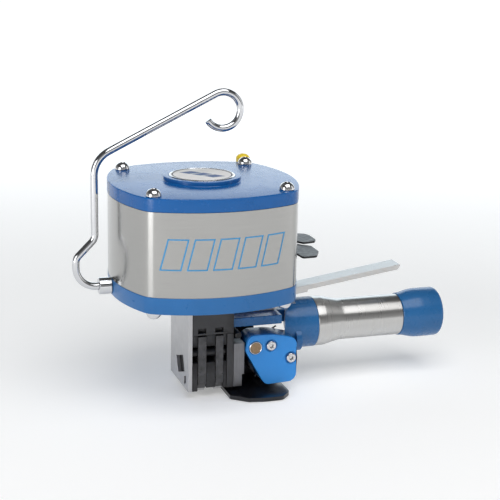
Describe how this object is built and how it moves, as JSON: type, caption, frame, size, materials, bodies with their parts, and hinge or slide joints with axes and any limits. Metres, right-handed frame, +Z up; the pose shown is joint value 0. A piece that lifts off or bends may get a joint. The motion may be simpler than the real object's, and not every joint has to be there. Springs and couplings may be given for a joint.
{
  "type": "pneumatic strapping tensioner tool",
  "caption": "Pneumatic steel-strap tool: air cylinder drum over a notcher and foot, rocking gear case with tension wheel and motor handle, squeeze lever and hanging hook.",
  "frame": {"origin": "middle of the flat underside of the foot, below the strap line", "axes": "+X along the strap towards the motor handle, +Z up, -Y to the operator's side that carries the cover"},
  "size_m": [0.3781, 0.2148, 0.2953],
  "materials": {
    "cap_blue": "satin powder-coated blue",
    "casting_blue": "gloss dark blue paint",
    "cover_blue": "satin bright blue paint",
    "stainless": "brushed stainless sheet",
    "satin_aluminium": "satin turned aluminium",
    "chrome": "bright chrome plate",
    "bright_steel": "bright machined steel",
    "ground_steel": "ground tool steel",
    "black_oxide": "black oxide over machined steel",
    "bronze": "plain bronze",
    "badge_cream": "satin cream enamel with a polished rim",
    "seal_rubber": "matt black rubber",
    "yellow_plastic": "moulded yellow plastic"
  },
  "bodies": {
    "frame": {"upper_cap": "cap_blue", "lower_cap": "cap_blue", "frame_beam": "casting_blue", "cylinder_sleeve": "stainless", "rocker_lever": "stainless", "cylinder_liner": "satin_aluminium", "inlet_body": "satin_aluminium", "hook_collar": "chrome", "tie_screw_1": "bright_steel", "tie_screw_2": "bright_steel", "tie_screw_3": "bright_steel", "tie_screw_4": "bright_steel", "cap_nut_1": "bright_steel", "cap_nut_2": "bright_steel", "cap_nut_3": "bright_steel", "cap_nut_4": "bright_steel", "paddle_pin": "bright_steel", "inlet_nipple": "bright_steel", "jaw_pin_front": "bright_steel", "jaw_pin_rear": "bright_steel", "gripper_plug": "bright_steel", "left_side_plate": "ground_steel", "guide_block": "ground_steel", "guide_pin": "ground_steel", "cutter_blade": "ground_steel", "notcher_head": "black_oxide", "right_side_plate": "black_oxide", "spacer_left": "black_oxide", "spacer_centre": "black_oxide", "spacer_right": "black_oxide", "foot_plate": "black_oxide", "rear_frame": "black_oxide", "valve_block": "black_oxide", "collar_set_screw": "black_oxide", "rocker_spring": "black_oxide", "rocker_pin": "bronze", "badge_plate": "badge_cream"},
    "hook": {"hook_wire": "chrome"},
    "piston": {"piston": "satin_aluminium", "piston_seal": "seal_rubber", "piston_rod": "bright_steel"},
    "front_jaws": {"jaw_front_left": "black_oxide", "jaw_front_right": "black_oxide"},
    "rear_jaws": {"jaw_rear_left": "black_oxide", "jaw_rear_right": "black_oxide"},
    "tension_paddle": {"tension_paddle": "black_oxide"},
    "notch_paddle": {"notch_paddle": "black_oxide"},
    "vent_button": {"vent_button": "yellow_plastic"},
    "rocker": {"gear_housing": "casting_blue", "cover_plate": "cover_blue", "cover_screw_1": "bright_steel", "cover_screw_2": "bright_steel", "wheel_bearing": "bright_steel", "handle_tube": "satin_aluminium", "end_cap": "casting_blue", "motor_cylinder": "bright_steel"},
    "rotor": {"rotor": "bright_steel"},
    "worm": {"worm_shaft": "bright_steel"},
    "tension_wheel": {"wheel_gear": "bright_steel", "tension_wheel": "ground_steel"}
  },
  "joints": [
    {"name": "rocker_lift", "type": "hinge", "parent": "frame", "child": "rocker", "pos_m": [-0.0052, 0, 0.048], "axis": [0, -1, 0], "range_deg": [0, 6], "stiffness_Nm_per_rad": 30, "springref_deg": -14.32},
    {"name": "rotor_spin", "type": "hinge", "parent": "rocker", "child": "rotor", "pos_m": [0.097, 0, 0.0583], "axis": [1, 0, 0], "continuous": true},
    {"name": "worm_spin", "type": "hinge", "parent": "rocker", "child": "worm", "pos_m": [0.0032, -0.017, 0.04776], "axis": [1, 0, 0], "continuous": true},
    {"name": "wheel_spin", "type": "hinge", "parent": "rocker", "child": "tension_wheel", "pos_m": [0.016, 0, 0.027], "axis": [0, 1, 0], "continuous": true},
    {"name": "piston_slide", "type": "slide", "parent": "frame", "child": "piston", "axis": [0, 0, -1], "range_m": [0, 0.014], "stiffness_N_per_m": 3000, "springref_m": -0.01},
    {"name": "front_jaw_close", "type": "hinge", "parent": "frame", "child": "front_jaws", "pos_m": [-0.049, -0.0265, 0.045], "axis": [1, 0, 0], "range_deg": [0, 8]},
    {"name": "rear_jaw_close", "type": "hinge", "parent": "frame", "child": "rear_jaws", "pos_m": [-0.049, 0.0265, 0.045], "axis": [-1, 0, 0], "range_deg": [0, 8]},
    {"name": "tension_paddle_press", "type": "hinge", "parent": "frame", "child": "tension_paddle", "pos_m": [0.043, 0.036, 0.138], "axis": [0, 1, 0], "range_deg": [0, 8], "stiffness_Nm_per_rad": 0.3, "springref_deg": -28.65},
    {"name": "notch_paddle_press", "type": "hinge", "parent": "frame", "child": "notch_paddle", "pos_m": [0.043, 0.015, 0.138], "axis": [0, 1, 0], "range_deg": [0, 8], "stiffness_Nm_per_rad": 0.3, "springref_deg": -28.65},
    {"name": "vent_button_press", "type": "slide", "parent": "frame", "child": "vent_button", "axis": [0, 0, -1], "range_m": [0, 0.003], "stiffness_N_per_m": 1500, "springref_m": -0.002},
    {"name": "hook_swivel", "type": "hinge", "parent": "frame", "child": "hook", "pos_m": [-0.151, 0, 0.1108], "axis": [1, 0, 0], "range_deg": [-90, 90]}
  ],
  "couplings": [
    {"joint": "worm_spin", "follows": "rotor_spin", "ratio": -1},
    {"joint": "wheel_spin", "follows": "rotor_spin", "ratio": -0.05},
    {"joint": "front_jaw_close", "follows": "piston_slide", "rad_per_m": 9.9733},
    {"joint": "rear_jaw_close", "follows": "piston_slide", "rad_per_m": 9.9733}
  ]
}
